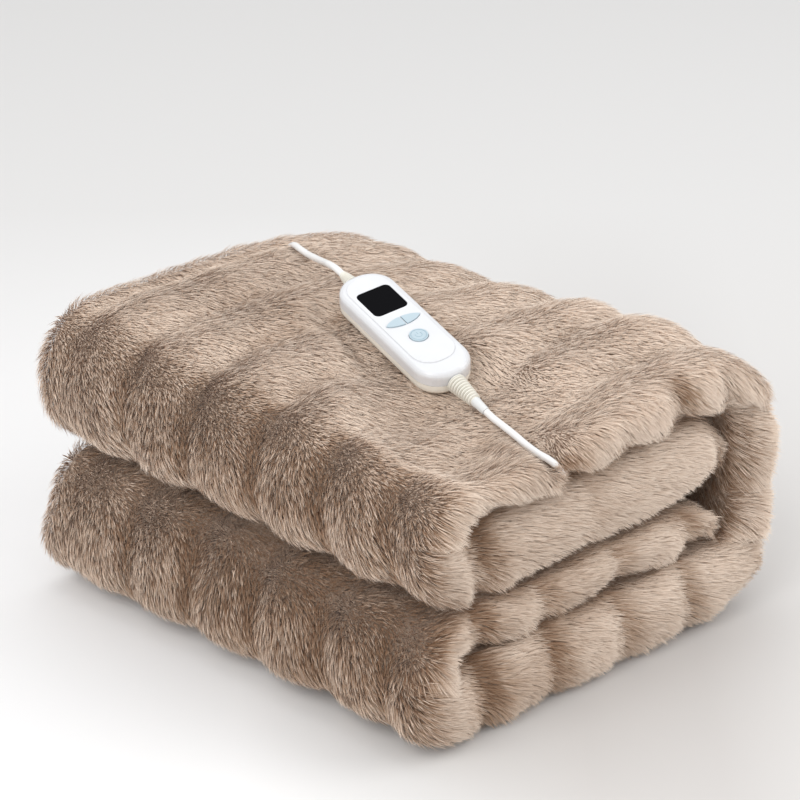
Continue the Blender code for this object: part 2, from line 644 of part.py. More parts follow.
def main():
    for obj in list(bpy.data.objects):
        remove_object(obj)
    collection = bpy.data.collections.new("heated_blanket")
    cutters = bpy.data.collections.new("cutters")
    bpy.context.scene.collection.children.link(collection)
    bpy.context.scene.collection.children.link(cutters)
    materials = {
        "pile": principled("taupe pile", (0.42, 0.33, 0.26), 0.9, sheen=0.4),
        "shell": principled("white gloss plastic", (0.88, 0.89, 0.90), 0.25),
        "window": principled("black display", (0.01, 0.01, 0.012), 0.12),
        "button": principled("pale blue plastic", (0.62, 0.75, 0.82), 0.45),
        "cord": principled("white cord", (0.85, 0.85, 0.85), 0.4),
        "tie": principled("grey tie", (0.25, 0.25, 0.26), 0.5),
        "brass": principled("brass", (0.80, 0.62, 0.32), 0.3, metallic=1.0),
    }
    add_object("blanket", blanket_mesh(), materials["pile"], collection)
    build_controller(collection, cutters, materials)
    turned("lead_strain_relief", relief_profile(LEAD_RELIEF), relief_matrix(1),
           materials["cord"], collection)
    turned("mains_strain_relief", relief_profile(MAINS_RELIEF), relief_matrix(-1),
           materials["cord"], collection)
    build_coil(collection, materials)
    plug_tip = build_plug(collection, materials)
    cord_tube("lead_cord", [relief_tip(1, LEAD_RELIEF), *LEAD_ROUTE], materials["cord"],
              collection)
    cord_tube("mains_cord", [relief_tip(-1, MAINS_RELIEF), *MAINS_ROUTE], materials["cord"],
              collection)
    cord_tube("mains_cord_tail", [*TAIL_ROUTE, plug_tip], materials["cord"], collection)
    for obj in cutters.objects:
        obj.hide_render = True
        obj.display_type = "WIRE"


main()
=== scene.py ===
"""Looks of the folded heated blanket: its cords, cloth, pile, controller and plug.

Metres, +Z up, in the frame's own axes: X across the folds, Y along them.
"""
import math

import bmesh
import bpy
import numpy as np
from mathutils import Matrix, Vector
from mathutils.bvhtree import BVHTree
from mathutils.kdtree import KDTree


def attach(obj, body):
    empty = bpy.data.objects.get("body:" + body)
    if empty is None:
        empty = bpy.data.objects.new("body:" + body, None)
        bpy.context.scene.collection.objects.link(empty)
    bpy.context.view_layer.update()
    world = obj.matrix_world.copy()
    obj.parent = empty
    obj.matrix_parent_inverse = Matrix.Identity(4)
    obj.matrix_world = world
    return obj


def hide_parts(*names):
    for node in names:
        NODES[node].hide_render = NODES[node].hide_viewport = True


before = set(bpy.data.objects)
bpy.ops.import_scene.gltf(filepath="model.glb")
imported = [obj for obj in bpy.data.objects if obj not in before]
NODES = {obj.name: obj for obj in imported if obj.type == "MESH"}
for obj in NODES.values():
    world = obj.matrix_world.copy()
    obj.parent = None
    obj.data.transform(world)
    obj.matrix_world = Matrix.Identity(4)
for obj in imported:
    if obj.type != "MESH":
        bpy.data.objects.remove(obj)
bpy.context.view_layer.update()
BLANKET_BODY = "folded_blanket"

# ---------------- camera
CAMERA_AZIMUTH, CAMERA_ELEVATION = math.radians(-43.95), math.radians(23.07)
CAMERA_DISTANCE, CAMERA_LENS, CAMERA_SENSOR = 2.055, 135.0, 36.0
CAMERA_AIM = Vector((0.0, 0.0, 0.096))
CAMERA_AIM_RIGHT, CAMERA_AIM_UP = -0.0103, 0.0460

# ---------------- studio
FLOOR_RADIUS, FLOOR_SEGMENTS = 14.0, 64
WORLD_COLOUR, WORLD_STRENGTH = (1.0, 0.995, 0.985, 1.0), 0.80
LIGHT_AIM = (0.0, 0.0, 0.1)
# Name, place, size, power, colour
LIGHTS = (("key", (-1.9, -0.5, 1.5), 2.0, 30.0, (1.0, 0.99, 0.98)),
          ("fill", (1.6, -1.8, 1.6), 2.2, 22.0, (1.0, 0.985, 0.965)),
          ("top", (0.3, 0.6, 2.6), 2.2, 10.0, (1.0, 1.0, 1.0)))
# The floor's tone near the object, from its left to its right side, with a painted pool of
# light on the left and painted shadow to the right, and far behind it; the metres over which
# it changes each way, square to the line of sight
FLOOR_SIDES = (-0.45, 0.35)
FLOOR_AWAY = (0.10, 0.80)
FLOOR_NEAR_PAINTED_LIGHT_STOPS = ((0.00, (0.800, 0.803, 0.815)), (0.20, (0.840, 0.845, 0.860)),
                    (0.42, (0.880, 0.885, 0.895)), (0.58, (0.730, 0.727, 0.725)),
                    (0.70, (0.625, 0.610, 0.602)), (0.80, (0.610, 0.595, 0.588)),
                    (0.92, (0.700, 0.692, 0.690)))
FLOOR_FAR = (0.710, 0.709, 0.712, 1.0)

# ---------------- controller, as in the solids
BODY_LENGTH, BODY_WIDTH = 0.1236, 0.0408
LOWER_HEIGHT, UPPER_HEIGHT = 0.0085, 0.0095
BODY_CENTRE = (-0.0199, -0.0098, 0.2030)
BODY_HEADING, BODY_PITCH, BODY_ROLL = (math.radians(a) for a in (-100.0, 13.7, 10.2))
FIT = 0.0003  # between parts that touch
POWER_X = 0.0180  # the power key's middle, along the body
KEY_TOP = 0.0111  # UPPER_HEIGHT, the panel's rise and the keys' own
RIM_RADIUS, RIM_HALF = 0.0053, 0.00028
MARK_RADIUS, MARK_HALF = 0.0023, 0.00020
MARK_OPENING = 130  # degrees to each side that the mark's arc reaches
MARK_BAR = (0.0008, 0.0030)  # from the key's middle towards the window
LEAD_RELIEF_LENGTH, MAINS_RELIEF_LENGTH = 0.0350, 0.0150
RIBS_END, RIB_COUNT, MAINS_RIB_COUNT = 0.0225, 9, 6
FLANGE = 0.0010  # thickness of the disc at the foot of each relief
RIB_START = FLANGE + 0.0002
RIB_EDGE = 0.0004  # how much a rib is rounded off
# Radii of the flange, the first and the last rib, and the core
LEAD_RADII = (0.0068, 0.0067, 0.0046, 0.0030)
MAINS_RADII = (0.0054, 0.0052, 0.0036, 0.0028)
MAINS_COLLAR = 0.0020  # past the mains relief's ribs
SEGMENTS = 40  # round a turned piece
SHARP_ANGLE = math.radians(50)

# ---------------- cords
CORD_D = 0.0048
ROUTE_STEPS = 24  # between two points of a route, before it is evenly spaced
LEAD_SPACING, MAINS_SPACING = CORD_D / 2, CORD_D / 1.6
COIL_CENTRE = (0.055, 0.2460)
COIL_RADIUS, COIL_COLUMN, COIL_ROW = 0.0275, 0.0047, 0.0047
COIL_COLUMNS = (1, 0, -1)  # outermost first
COIL_LOWEST = 0.0039
COIL_TURNS = 11
TURN_POINTS = 28
LANE_CHANGE, COIL_LEAVING = 0.16, 0.2  # shares of a turn: to the next lane, to the tail
LEAD_LYING_Y, MAINS_LYING_Y = 0.169, 0.157  # past these the cords are sunk in the pile

# From the ribbed relief along the crease, over the front and in under the top layer
LEAD_ROUTE = (
    (-0.0378, -0.1116, 0.1780), (-0.0402, -0.1205, 0.1776), (-0.0458, -0.1378, 0.1774),
    (-0.0508, -0.1532, 0.1767), (-0.0532, -0.1660, 0.1756), (-0.0522, -0.1722, 0.1742),
    (-0.0500, -0.1764, 0.1712), (-0.0474, -0.1780, 0.1674), (-0.0444, -0.1774, 0.1638),
    (-0.0408, -0.1750, 0.1614), (-0.0360, -0.1714, 0.1604), (-0.0305, -0.1680, 0.1602),
)
# From the small relief over the back edge, down the parted plies and round to the coil
MAINS_ROUTE = (
    (-0.0054, 0.0725, 0.2232), (-0.0005, 0.0845, 0.2215), (0.0085, 0.0990, 0.2168),
    (0.0195, 0.1190, 0.2112), (0.0280, 0.1380, 0.2074), (0.0335, 0.1520, 0.2062),
    (0.0395, 0.1645, 0.2042), (0.0440, 0.1738, 0.1996), (0.0480, 0.1820, 0.1932),
    (0.0515, 0.1895, 0.1862), (0.0545, 0.1955, 0.1790), (0.0570, 0.1995, 0.1712),
    (0.0592, 0.2012, 0.1620), (0.0606, 0.2008, 0.1540), (0.0623, 0.1985, 0.1440),
    (0.0655, 0.1955, 0.1170), (0.0695, 0.1945, 0.0920), (0.0750, 0.1960, 0.0640),
    (0.0805, 0.2000, 0.0400), (0.0860, 0.2070, 0.0205), (0.0905, 0.2175, 0.0085),
    (0.0928, 0.2300, 0.0036), (0.0924, 0.2460, 0.0030),
)
# Off the top of the coil and round to the plug's relief
TAIL_ROUTE = (
    (0.0800, 0.2400, 0.0234), (0.0862, 0.2540, 0.0234), (0.0910, 0.2670, 0.0212),
    (0.0936, 0.2768, 0.0178), (0.1008, 0.2839, 0.0135), (0.1105, 0.2865, 0.0098),
    (0.1203, 0.2839, 0.0078), (0.1274, 0.2768, 0.0076), (0.1298, 0.2690, 0.0084),
    (0.1300, 0.2611, 0.0086),
)

# ---------------- the throw's shape
SOLID_LEVELS = 2  # how often the solid's faces are divided
RIDGE_GAIN = 0.45  # how much deeper the creases are than on the solid
RELIEF_ROUNDS = 40  # of evening out along the folds, to tell the ridges from them
GREATEST_RELIEF = 0.0045
CREASE_RELIEF = 0.0034  # relief that counts as a full crease
RIDGES_END_Y = (0.172, 0.150)  # the ridges grow over these, from the front and the back
LUMPS = ((0.0018, 0.034, 1), (0.0010, 0.016, 2))  # height, size, seed
FLOOR_FADE = 0.012  # height over which the surface's own shape begins
BODY_ROOM, CORD_ROOM = 0.018, 0.014  # over which the surface rises beside them
ROOM_START = 0.004

# The pile's tips stand out past the smoothed surface, and more where it is fullest: place
# and spread
FULLNESS = 0.0018
FULLER = (((-0.060, 0.172, 0.200), (0.110, 0.030, 0.030)),
          ((0.045, 0.176, 0.195), (0.035, 0.016, 0.030)),
          ((-0.172, 0.130, 0.140), (0.030, 0.080, 0.030)),
          ((-0.172, 0.080, 0.030), (0.030, 0.120, 0.030)),
          ((-0.172, 0.150, 0.040), (0.030, 0.060, 0.030)),
          ((0.105, -0.090, 0.200), (0.040, 0.055, 0.030)))
FULLER_AMOUNTS = (0.0060, 0.0040, 0.0040, 0.0025, 0.0035, 0.0090)
# Where the pile is pressed in beside the controller and the lead, and isn't a crease
PRESSED = (((0.000, -0.085, 0.190), (0.035, 0.030, 0.030)),
           ((-0.018, -0.152, 0.180), (0.030, 0.028, 0.030)))
PRESSED_GAIN = 1.3
# Notches in the front edge of the big turn: height, depth
TURN_NOTCHES = ((0.151, 0.0040), (0.098, 0.0045), (0.048, 0.0030))
TURN_NOTCH_HALF = 0.009
TURN_NOTCH_X, TURN_NOTCH_Y = (0.112, 0.142), (-0.120, -0.170)  # they deepen over these

# Front folds, from the base up: height of the layer before the stack settled, how far it
# reaches, and the notches between its lobes (place, depth)
LOBES = (
    (0.0000, 0.0625, -0.1830, ((-0.116, 0.0050), (-0.054, 0.0032), (0.013, 0.0028),
                               (0.078, 0.0034), (0.143, 0.0020))),
    (0.0625, 0.0975, -0.1790, ((-0.118, 0.0045), (-0.062, 0.0022), (0.009, 0.0020),
                               (0.080, 0.0035))),
    (0.0975, 0.1615, -0.1805, ((-0.120, 0.0060), (-0.022, 0.0006), (0.110, 0.0030))),
    (0.1615, 0.2100, -0.1875, ((-0.122, 0.0015), (-0.050, 0.0055), (0.004, 0.0010),
                               (0.060, 0.0055), (0.104, 0.0030))),
)
LAYER_ENDS_X = 0.190  # where the outermost lobes end
NOTCH_HALF = 0.0105  # half width of a notch
NOTCH_LEAN = 0.014  # how far a notch leans over the height of its layer
LOBE_SWELL = 0.0010
LOBE_SAG = 0.0038  # how far the lobes hang over the layer below
LOBE_INLAND = 0.032  # how far back from the front they fade out
LOBE_REACH_X = (0.152, 0.128)  # over these they grow, from the outer turns inwards
FRONT_HALF_Y = -0.1  # the lobes are looked for in front of this
SADDLE, SADDLE_END_Y = 0.247, 0.19  # settling at the front, a share for each metre of X

# ---------------- the pile
RNG = np.random.default_rng(8)
STRANDS = 455000
PIECES = 5
CLUMP_SHARE = 14  # strands to a tuft
CLUMP_REACH = 0.006  # a strand further than this from its tuft's middle is free
PILE_DEPTH = 0.0072  # from the dense undercoat to the pile's reach
PILE_SHARE = 0.36  # the same on thin plies, as a share of the ply
THICKEST_PLY = 0.08
LEAST_LENGTH = 0.0115  # of a strand, where the ply is pressed thin
STRAND_STRETCH = 2.1  # length of a strand, in pile depths
STRAND_WIDTH = 0.00052  # at a strand's middle; it is pointed at both ends
CLOTH_SHARE = 0.28  # of the fine surface's triangles, kept in the cloth
OPEN_RAYS, OPEN_REACH = 10, 0.10  # rays that test how open a place is, and their length
LEAST_OPEN = 0.03  # share of the pile that grows in a closed gap
UNDERSIDE_SHARE = 0.2  # and under the stack
COMB = (0.50, -0.85, 0.0)  # which way the nap lies, before it is laid on the surface
FAR_LEFT = (-0.72, 0.69, 0.0)  # the way that the back end of the rounded folds faces
# Ranges of place over which the pile changes: to that of the front lobes, of the right side,
# of the back, of the lower fold and of the big turn
FRONT_Y, RIGHT_X, REAR_Y = (-0.150, -0.172), (-0.056, 0.084), (0.020, 0.100)
LOW_Z, TURN_X = (0.115, 0.105), (0.130, 0.150)
BODY_CLEAR, CORD_CLEAR = 0.0004, 0.0002  # how far the pile keeps off the hard parts
ABOVE_BODY = 0.03  # strands up to this high above the controller go under it
LOWEST_TIP = 0.0006

WANDER, WANDER_PATCHES = 0.10, 0.16  # how much strands and patches stray from the comb
LENGTHS, WIDTHS = (0.70, 0.42), (0.7, 0.6)  # the least share, and what chance adds to it
SUNK_SHORTER, FRINGE_LONGER = 0.25, 0.40
MIDDLE_PULL = 0.35  # of a tuft on its strands' middles, as a share of that on tips

# What each field of a strand's place (see place_fields), or a product of fields, adds to
# the angle in degrees at which the strand's lower and upper half leave the surface, to its
# tone (0 dark, 1 pale), much of which is painted light and shade, to how soft it looks, to
# its tuft's pull on it, and to how widely angle and tone scatter
RISE = {"everywhere": 42, "patch": 6, "opened": 16, "facing_front": 6}
LIFT = {"everywhere": 8, "patch": 6, "patch*rightward": -3, "opened": 24,
        "facing_front": 10, "begins": 12}
# The tone holds painted shade in the creases and notches, strongest where the left folds' pile
# opens, whose crests it paints paler; in closed gaps; under the upper fold's overhang; over the
# left faces, less towards the back; on the front faces, more so low down; and where each lobe
# begins beside its notch. It holds painted light on the right side, on the big turn and on the
# faces turned to the back left.
TONE_AND_PAINTED_LIGHT = {"everywhere": 0.65, "shade": 0.10, "shade*rightward": -0.05, "sunk": -0.17,
        "sunk*rightward": -0.13, "leftward": -0.20, "leftward*low": -0.03,
        "rightward": 0.17, "painted_overhang_shade": -0.28, "opened": -0.1275, "opened*sunk": -0.7225,
        "fringe": 0.08, "turned_down": 0.06, "far_left": 0.30, "begins": -0.16,
        "facing_front": -0.10, "facing_front*low": -0.06, "on_turn": 0.10,
        "leftward*rearward": 0.18, "painted_gap_shade": -0.55}
SOFT = {"everywhere": 0.25, "rightward": 0.70, "leftward": -1.3, "facing_front": 1.1,
        "begins": -0.8}
PULL = {"everywhere": 0.06, "hanging": 0.14, "fringe": 0.25}
RISE_SPREAD = 6
LIFT_SPREAD = {"everywhere": 5, "rightward": -2.5}
TONE_SPREAD = {"everywhere": 0.05, "leftward": 0.19}
TUFT_TONE_SPREAD = {"everywhere": 0.03, "leftward": 0.05}
SOFT_ROOT, SOFT_MIDDLE = 0.50, 0.12  # how much paler the roots are on the front
# The darker middles, mostly on the left faces and where each lobe begins, are painted shade
OPEN_MIDDLE = 0.25  # how much darker strands are where the pile opens
LEANS = (0.55, 0.32, 0.32, 0.05)  # how far the normals at a strand's corners lean back
ROOT_PLACE, MIDDLE_PLACE, TIP_PLACE = 0.02, 0.55, 0.98  # along the colours below
PILE_STOPS = ((0.00, (0.240, 0.140, 0.085)), (0.25, (0.460, 0.315, 0.225)),
              (0.55, (0.740, 0.590, 0.475)), (1.00, (0.900, 0.785, 0.680)))
# How dark or pale each tone makes a strand, painted light and shade included
TONE_AND_PAINTED_LIGHT_STOPS = ((0.00, (0.34, 0.24, 0.17)), (0.25, (0.62, 0.53, 0.46)),
              (0.60, (0.96, 0.95, 0.94)), (1.00, (1.10, 1.10, 1.10)))
CLOTH_STOPS = ((0.30, (0.270, 0.180, 0.128)), (0.70, (0.520, 0.395, 0.305)))


# ---------------- sums used throughout
def share(values):
    """Values cut to the range from 0 to 1."""
    return np.clip(values, 0.0, 1.0)


def between(values, start, end):
    """0 at the start and before it, 1 at the end and past it."""
    return share((values - start) / (end - start))


def smoothstep(t):
    return t * t * (3 - 2 * t)


def unit(vectors):
    return vectors / np.maximum(np.linalg.norm(vectors, axis=1, keepdims=True), 1e-12)


def mounds(places, spots):
    """For each spot (place, spread): 1 at its place, fading out over its spread."""
    return [np.exp(-(((places - spot) / spread) ** 2).sum(axis=1) / 2)
            for spot, spread in spots]


def lattice_noise(places, scale, seed):
    """Smooth noise from -1 to 1 at each place, with features of about that size."""
    table = np.random.default_rng(seed).random(4096) * 2 - 1
    cells = places / scale
    base = np.floor(cells).astype(np.int64)
    part = smoothstep(cells - base)
    total = np.zeros(len(places))
    for corner in range(8):
        step = np.array([corner & 1, corner >> 1 & 1, corner >> 2 & 1])
        key = (base + step) @ np.array([73856093, 19349663, 83492791])
        weight = np.prod(np.where(step, part, 1 - part), axis=1)
        total += table[key % len(table)] * weight
    return total


# ---------------- materials
def new_material(name, colour, roughness, **settings):
    """A Principled material; settings are its constant sockets, by name with _ for spaces."""
    material = bpy.data.materials.new(name)
    material.use_nodes = True
    shader = material.node_tree.nodes["Principled BSDF"]
    shader.inputs["Base Color"].default_value = (*colour, 1.0)
    shader.inputs["Roughness"].default_value = roughness
    for key, value in settings.items():
        shader.inputs[key.replace("_", " ")].default_value = value
    return material


def add_node(material, kind, **values):
    """A node with its attributes and, where the name is a socket's, its inputs set."""
    node = material.node_tree.nodes.new(kind)
    for key, value in values.items():
        socket = key.replace("_", " ")
        if socket in node.inputs:
            node.inputs[socket].default_value = value
        else:
            setattr(node, key, value)
    return node


def link(material, output, target):
    material.node_tree.links.new(output, target)


def shader_of(material):
    return material.node_tree.nodes["Principled BSDF"]


def ramp(material, source, stops):
    """A colour ramp of (place, colour) fed by source."""
    node = add_node(material, "ShaderNodeValToRGB")
    elements = node.color_ramp.elements
    while len(elements) < len(stops):
        elements.new(0.5)
    for element, (place, colour) in zip(elements, stops):
        element.position = place
        element.color = (*colour, 1.0)
    link(material, source, node.inputs["Fac"])
    return node.outputs["Color"]


def add_bump(material, height, distance, strength):
    bump = add_node(material, "ShaderNodeBump", Distance=distance, Strength=strength)
    link(material, height, bump.inputs["Height"])
    link(material, bump.outputs["Normal"], shader_of(material).inputs["Normal"])


def noise(material, scale, detail=3.0):
    coordinates = add_node(material, "ShaderNodeTexCoord")
    texture = add_node(material, "ShaderNodeTexNoise", Scale=scale, Detail=detail)
    link(material, coordinates.outputs["Object"], texture.inputs["Vector"])
    return texture.outputs["Fac"]


def moulded(name, colour, roughness, grain=0.00003, **settings):
    """Moulded plastic: a faint change of tone, a fine grain and uneven gloss."""
    material = new_material(name, colour, roughness, **settings)
    shader = shader_of(material)
    shade = tuple(c * 0.97 for c in colour)
    link(material, ramp(material, noise(material, 60.0), ((0.35, shade), (0.65, colour))),
         shader.inputs["Base Color"])
    spread = add_node(material, "ShaderNodeMapRange", To_Min=roughness * 0.85,
                      To_Max=roughness * 1.2)
    link(material, noise(material, 220.0), spread.inputs["Value"])
    link(material, spread.outputs["Result"], shader.inputs["Roughness"])
    add_bump(material, noise(material, 2600.0, 1.0), grain, 0.25)
    return material


def pile_material():
    """Strands are dark at the root and pale at the tip; each has a tone of its own, with painted
    light and shade in it.
    """
    material = new_material("pile_strands", (0.62, 0.50, 0.41), 0.62, Sheen_Weight=0.22,
                            Sheen_Roughness=0.4, Specular_IOR_Level=0.15)
    places = add_node(material, "ShaderNodeUVMap", uv_map="OFBake")
    split = add_node(material, "ShaderNodeSeparateXYZ")
    link(material, places.outputs["UV"], split.inputs["Vector"])
    along = ramp(material, split.outputs["Y"], PILE_STOPS)
    tone = ramp(material, split.outputs["X"], TONE_AND_PAINTED_LIGHT_STOPS)
    product = add_node(material, "ShaderNodeMix", data_type="RGBA", blend_type="MULTIPLY")
    product.inputs[0].default_value = 1.0
    link(material, along, product.inputs[6])
    link(material, tone, product.inputs[7])
    link(material, product.outputs[2], shader_of(material).inputs["Base Color"])
    return material


def cloth_material():
    """The pile's dense roots, seen between the strands."""
    material = new_material("pile_roots", (0.30, 0.22, 0.165), 0.95, Sheen_Weight=0.15)
    link(material, ramp(material, noise(material, 420.0, 4.0), CLOTH_STOPS),
         shader_of(material).inputs["Base Color"])
    add_bump(material, noise(material, 900.0), 0.0012, 0.8)
    return material


def assign(obj, material):
    obj.data.materials.clear()
    obj.data.materials.append(material)


# ---------------- scene
def link_object(obj):
    bpy.context.scene.collection.objects.link(obj)
    return obj


def build_camera():
    a, e = CAMERA_AZIMUTH, CAMERA_ELEVATION
    back = Vector((math.sin(a) * math.cos(e), -math.cos(a) * math.cos(e), math.sin(e)))
    right = Vector((math.cos(a), math.sin(a), 0.0))
    up = back.cross(right)
    data = bpy.data.cameras.new("camera")
    data.lens = CAMERA_LENS
    data.sensor_width = CAMERA_SENSOR
    camera = link_object(bpy.data.objects.new("camera", data))
    aim = CAMERA_AIM + right * CAMERA_AIM_RIGHT + up * CAMERA_AIM_UP
    camera.location = aim + back * CAMERA_DISTANCE
    camera.rotation_euler = (-back).to_track_quat("-Z", "Y").to_euler()
    bpy.context.scene.camera = camera


def area_light(name, place, size, power, colour):
    data = bpy.data.lights.new(name, "AREA")
    data.shape = "DISK"
    data.size = size
    data.energy = power
    data.color = colour
    light = link_object(bpy.data.objects.new(name, data))
    light.location = place
    away = Vector(place) - Vector(LIGHT_AIM)
    light.rotation_euler = away.to_track_quat("Z", "Y").to_euler()


def painted_light_floor_material():
    """Pale paper, lightest on the left under a painted pool of light, with painted shadow to the
    right of the object, where it is also a little warmer.
    """
    material = new_material("floor", (0.62, 0.617, 0.614), 0.75)
    coordinates = add_node(material, "ShaderNodeTexCoord")
    turned = add_node(material, "ShaderNodeMapping")
    turned.inputs["Rotation"].default_value = (0.0, 0.0, -CAMERA_AZIMUTH)
    link(material, coordinates.outputs["Object"], turned.inputs["Vector"])
    split = add_node(material, "ShaderNodeSeparateXYZ")
    link(material, turned.outputs["Vector"], split.inputs["Vector"])
    sideways, away = (add_node(material, "ShaderNodeMapRange", From_Min=low, From_Max=high)
                      for low, high in (FLOOR_SIDES, FLOOR_AWAY))
    link(material, split.outputs["X"], sideways.inputs["Value"])
    link(material, split.outputs["Y"], away.inputs["Value"])
    near = ramp(material, sideways.outputs["Result"], FLOOR_NEAR_PAINTED_LIGHT_STOPS)
    blended = add_node(material, "ShaderNodeMix", data_type="RGBA")
    link(material, away.outputs["Result"], blended.inputs[0])
    link(material, near, blended.inputs[6])
    blended.inputs[7].default_value = FLOOR_FAR
    link(material, blended.outputs[2], shader_of(material).inputs["Base Color"])
    return material


def build_studio():
    floor_mesh = bmesh.new()
    bmesh.ops.create_circle(floor_mesh, cap_ends=True, segments=FLOOR_SEGMENTS,
                            radius=FLOOR_RADIUS)
    data = bpy.data.meshes.new("floor")
    floor_mesh.to_mesh(data)
    floor_mesh.free()
    floor = link_object(bpy.data.objects.new("floor", data))
    assign(floor, painted_light_floor_material())
    world = bpy.data.worlds.new("studio")
    world.use_nodes = True
    background = world.node_tree.nodes["Background"]
    background.inputs["Color"].default_value = WORLD_COLOUR
    background.inputs["Strength"].default_value = WORLD_STRENGTH
    bpy.context.scene.world = world
    for light in LIGHTS:
        area_light(*light)
    bpy.context.scene.view_settings.view_transform = "Standard"


# ---------------- cords
def smooth_route(points, spacing):
    """Points a set distance apart on a smooth curve through the route's own points."""
    route = [Vector(point) for point in points]
    route = [2 * route[0] - route[1]] + route + [2 * route[-1] - route[-2]]
    fine = []
    for before, start, end, after in zip(route, route[1:], route[2:], route[3:]):
        for i in range(ROUTE_STEPS):
            t = i / ROUTE_STEPS
            fine.append(0.5 * ((2 * start) + (end - before) * t
                               + (2 * before - 5 * start + 4 * end - after) * t ** 2
                               + (3 * start - before - 3 * end + after) * t ** 3))
    fine.append(route[-2])
    total = length_of(fine)
    count = max(2, round(total / spacing))
    result, walked, target = [fine[0]], 0.0, total / count
    for a, b in zip(fine, fine[1:]):
        length = (b - a).length
        while walked + length >= target and len(result) < count:
            result.append(a.lerp(b, (target - walked) / length))
            target += total / count
        walked += length
    return result + [fine[-1]]


def length_of(points):
    return sum((b - a).length for a, b in zip(points, points[1:]))


def coil_lane(turn):
    """Radius and height of a turn: rows of three, laid outwards in and back out again."""
    row, place = divmod(turn, len(COIL_COLUMNS))
    column = (COIL_COLUMNS if row % 2 == 0 else COIL_COLUMNS[::-1])[place]
    return np.array([COIL_RADIUS + column * COIL_COLUMN, COIL_LOWEST + row * COIL_ROW])


def coil_points(start, end):
    """The coil's turns one after the other, from start round to end."""
    centre = Vector((*COIL_CENTRE, 0.0))
    first, last = (np.array([math.hypot(p.x - centre.x, p.y - centre.y), p.z])
                   for p in (start, end))
    turns_in_all = COIL_TURNS + math.atan2(end.y - centre.y, end.x - centre.x) / math.tau
    count = round(turns_in_all * TURN_POINTS)
    points = []
    for i in range(1, count):
        turns = turns_in_all * i / count
        turn = min(int(turns), COIL_TURNS - 1)
        before = coil_lane(turn - 1) if turn else first
        into = smoothstep(share((turns - turn) / LANE_CHANGE))
        place = before + (coil_lane(turn) - before) * into
        leave = smoothstep(share((turns - turns_in_all + COIL_LEAVING) / COIL_LEAVING))
        radius, height = place + (last - place) * leave
        angle = math.tau * turns
        points.append(centre + Vector((radius * math.cos(angle), radius * math.sin(angle),
                                       height)))
    return points


def tube(name, points, radius, resolution, material):
    """A round line through points."""
    curve = bpy.data.curves.new(name, "CURVE")
    curve.dimensions = "3D"
    curve.bevel_depth = radius
    curve.bevel_resolution = resolution
    curve.use_fill_caps = True
    spline = curve.splines.new("POLY")
    spline.points.add(len(points) - 1)
    for target, point in zip(spline.points, points):
        target.co = (*point, 1.0)
    spline.use_smooth = True
    curve.materials.append(material)
    return link_object(bpy.data.objects.new(name, curve))


def controller_frame():
    return (Matrix.Translation(BODY_CENTRE) @ Matrix.Rotation(BODY_HEADING, 4, "Z")
            @ Matrix.Rotation(BODY_PITCH, 4, "Y") @ Matrix.Rotation(BODY_ROLL, 4, "X"))


def relief_matrix(side):
    """At the end of the body that side names, local Z pointing away from it."""
    seat = Matrix.Translation((side * (BODY_LENGTH / 2 + FIT), 0.0, 0.0))
    return controller_frame() @ seat @ Matrix.Rotation(side * math.pi / 2, 4, "Y")


def relief_tip(side, length):
    return relief_matrix(side) @ Vector((0.0, 0.0, length + FIT))


def build_cords():
    """Both cords and their reliefs; returns the lines along which they lie on the pile."""
    jacket = moulded("cord_jacket", (0.84, 0.845, 0.85), 0.36, Coat_Weight=0.15)
    lead_start = relief_tip(1, LEAD_RELIEF_LENGTH)
    lead_line = smooth_route([lead_start, *LEAD_ROUTE], LEAD_SPACING)
    lead = tube("lead", lead_line, CORD_D / 2, 4, jacket)
    mains_start = relief_tip(-1, MAINS_RELIEF_LENGTH)
    run = smooth_route([mains_start, *MAINS_ROUTE], MAINS_SPACING)
    tail = smooth_route(TAIL_ROUTE, MAINS_SPACING)
    mains_line = run + coil_points(run[-1], tail[0]) + tail
    mains = tube("mains_lead", mains_line, CORD_D / 2, 4, jacket)
    lead_reliefs, mains_relief = build_reliefs()
    for cord, replaced in ((lead, ["lead_cord"]),
                           (mains, ["mains_cord", "mains_cord_coil", "mains_cord_tail"])):
        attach(cord, BLANKET_BODY)
        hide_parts(*replaced)
    return [[point for point in line if abs(point.y) < end]
            for line, end in ((lead_line, LEAD_LYING_Y), (run, MAINS_LYING_Y))]


# ---------------- cloth and pile
def mesh_arrays(data):
    data.calc_loop_triangles()
    points = np.zeros(len(data.vertices) * 3)
    normals = np.zeros(len(data.vertices) * 3)
    triangles = np.zeros(len(data.loop_triangles) * 3, np.int32)
    data.vertices.foreach_get("co", points)
    data.vertices.foreach_get("normal", normals)
    data.loop_triangles.foreach_get("vertices", triangles)
    return points.reshape(-1, 3), normals.reshape(-1, 3), triangles.reshape(-1, 3)


def refined():
    """The solid's surface as a fine mesh of quads."""
    source = bmesh.new()
    source.from_mesh(NODES["blanket"].data)
    bmesh.ops.remove_doubles(source, verts=source.verts, dist=0.00001)
    bmesh.ops.join_triangles(source, faces=source.faces, angle_face_threshold=1.2,
                             angle_shape_threshold=1.4)
    data = bpy.data.meshes.new("reach")
    source.to_mesh(data)
    source.free()
    guide = link_object(bpy.data.objects.new("reach", data))
    finer = guide.modifiers.new("finer", "SUBSURF")
    finer.levels = SOLID_LEVELS
    evaluated = guide.evaluated_get(bpy.context.evaluated_depsgraph_get())
    smooth = bpy.data.meshes.new_from_object(evaluated)
    bpy.data.objects.remove(guide, do_unlink=True)
    return smooth


def in_controller_axes(points):
    """The points in the controller's own axes, and the matrix that leads back out."""
    matrix = np.array(controller_frame())
    inverse = np.linalg.inv(matrix)
    return points @ inverse[:3, :3].T + inverse[:3, 3], matrix


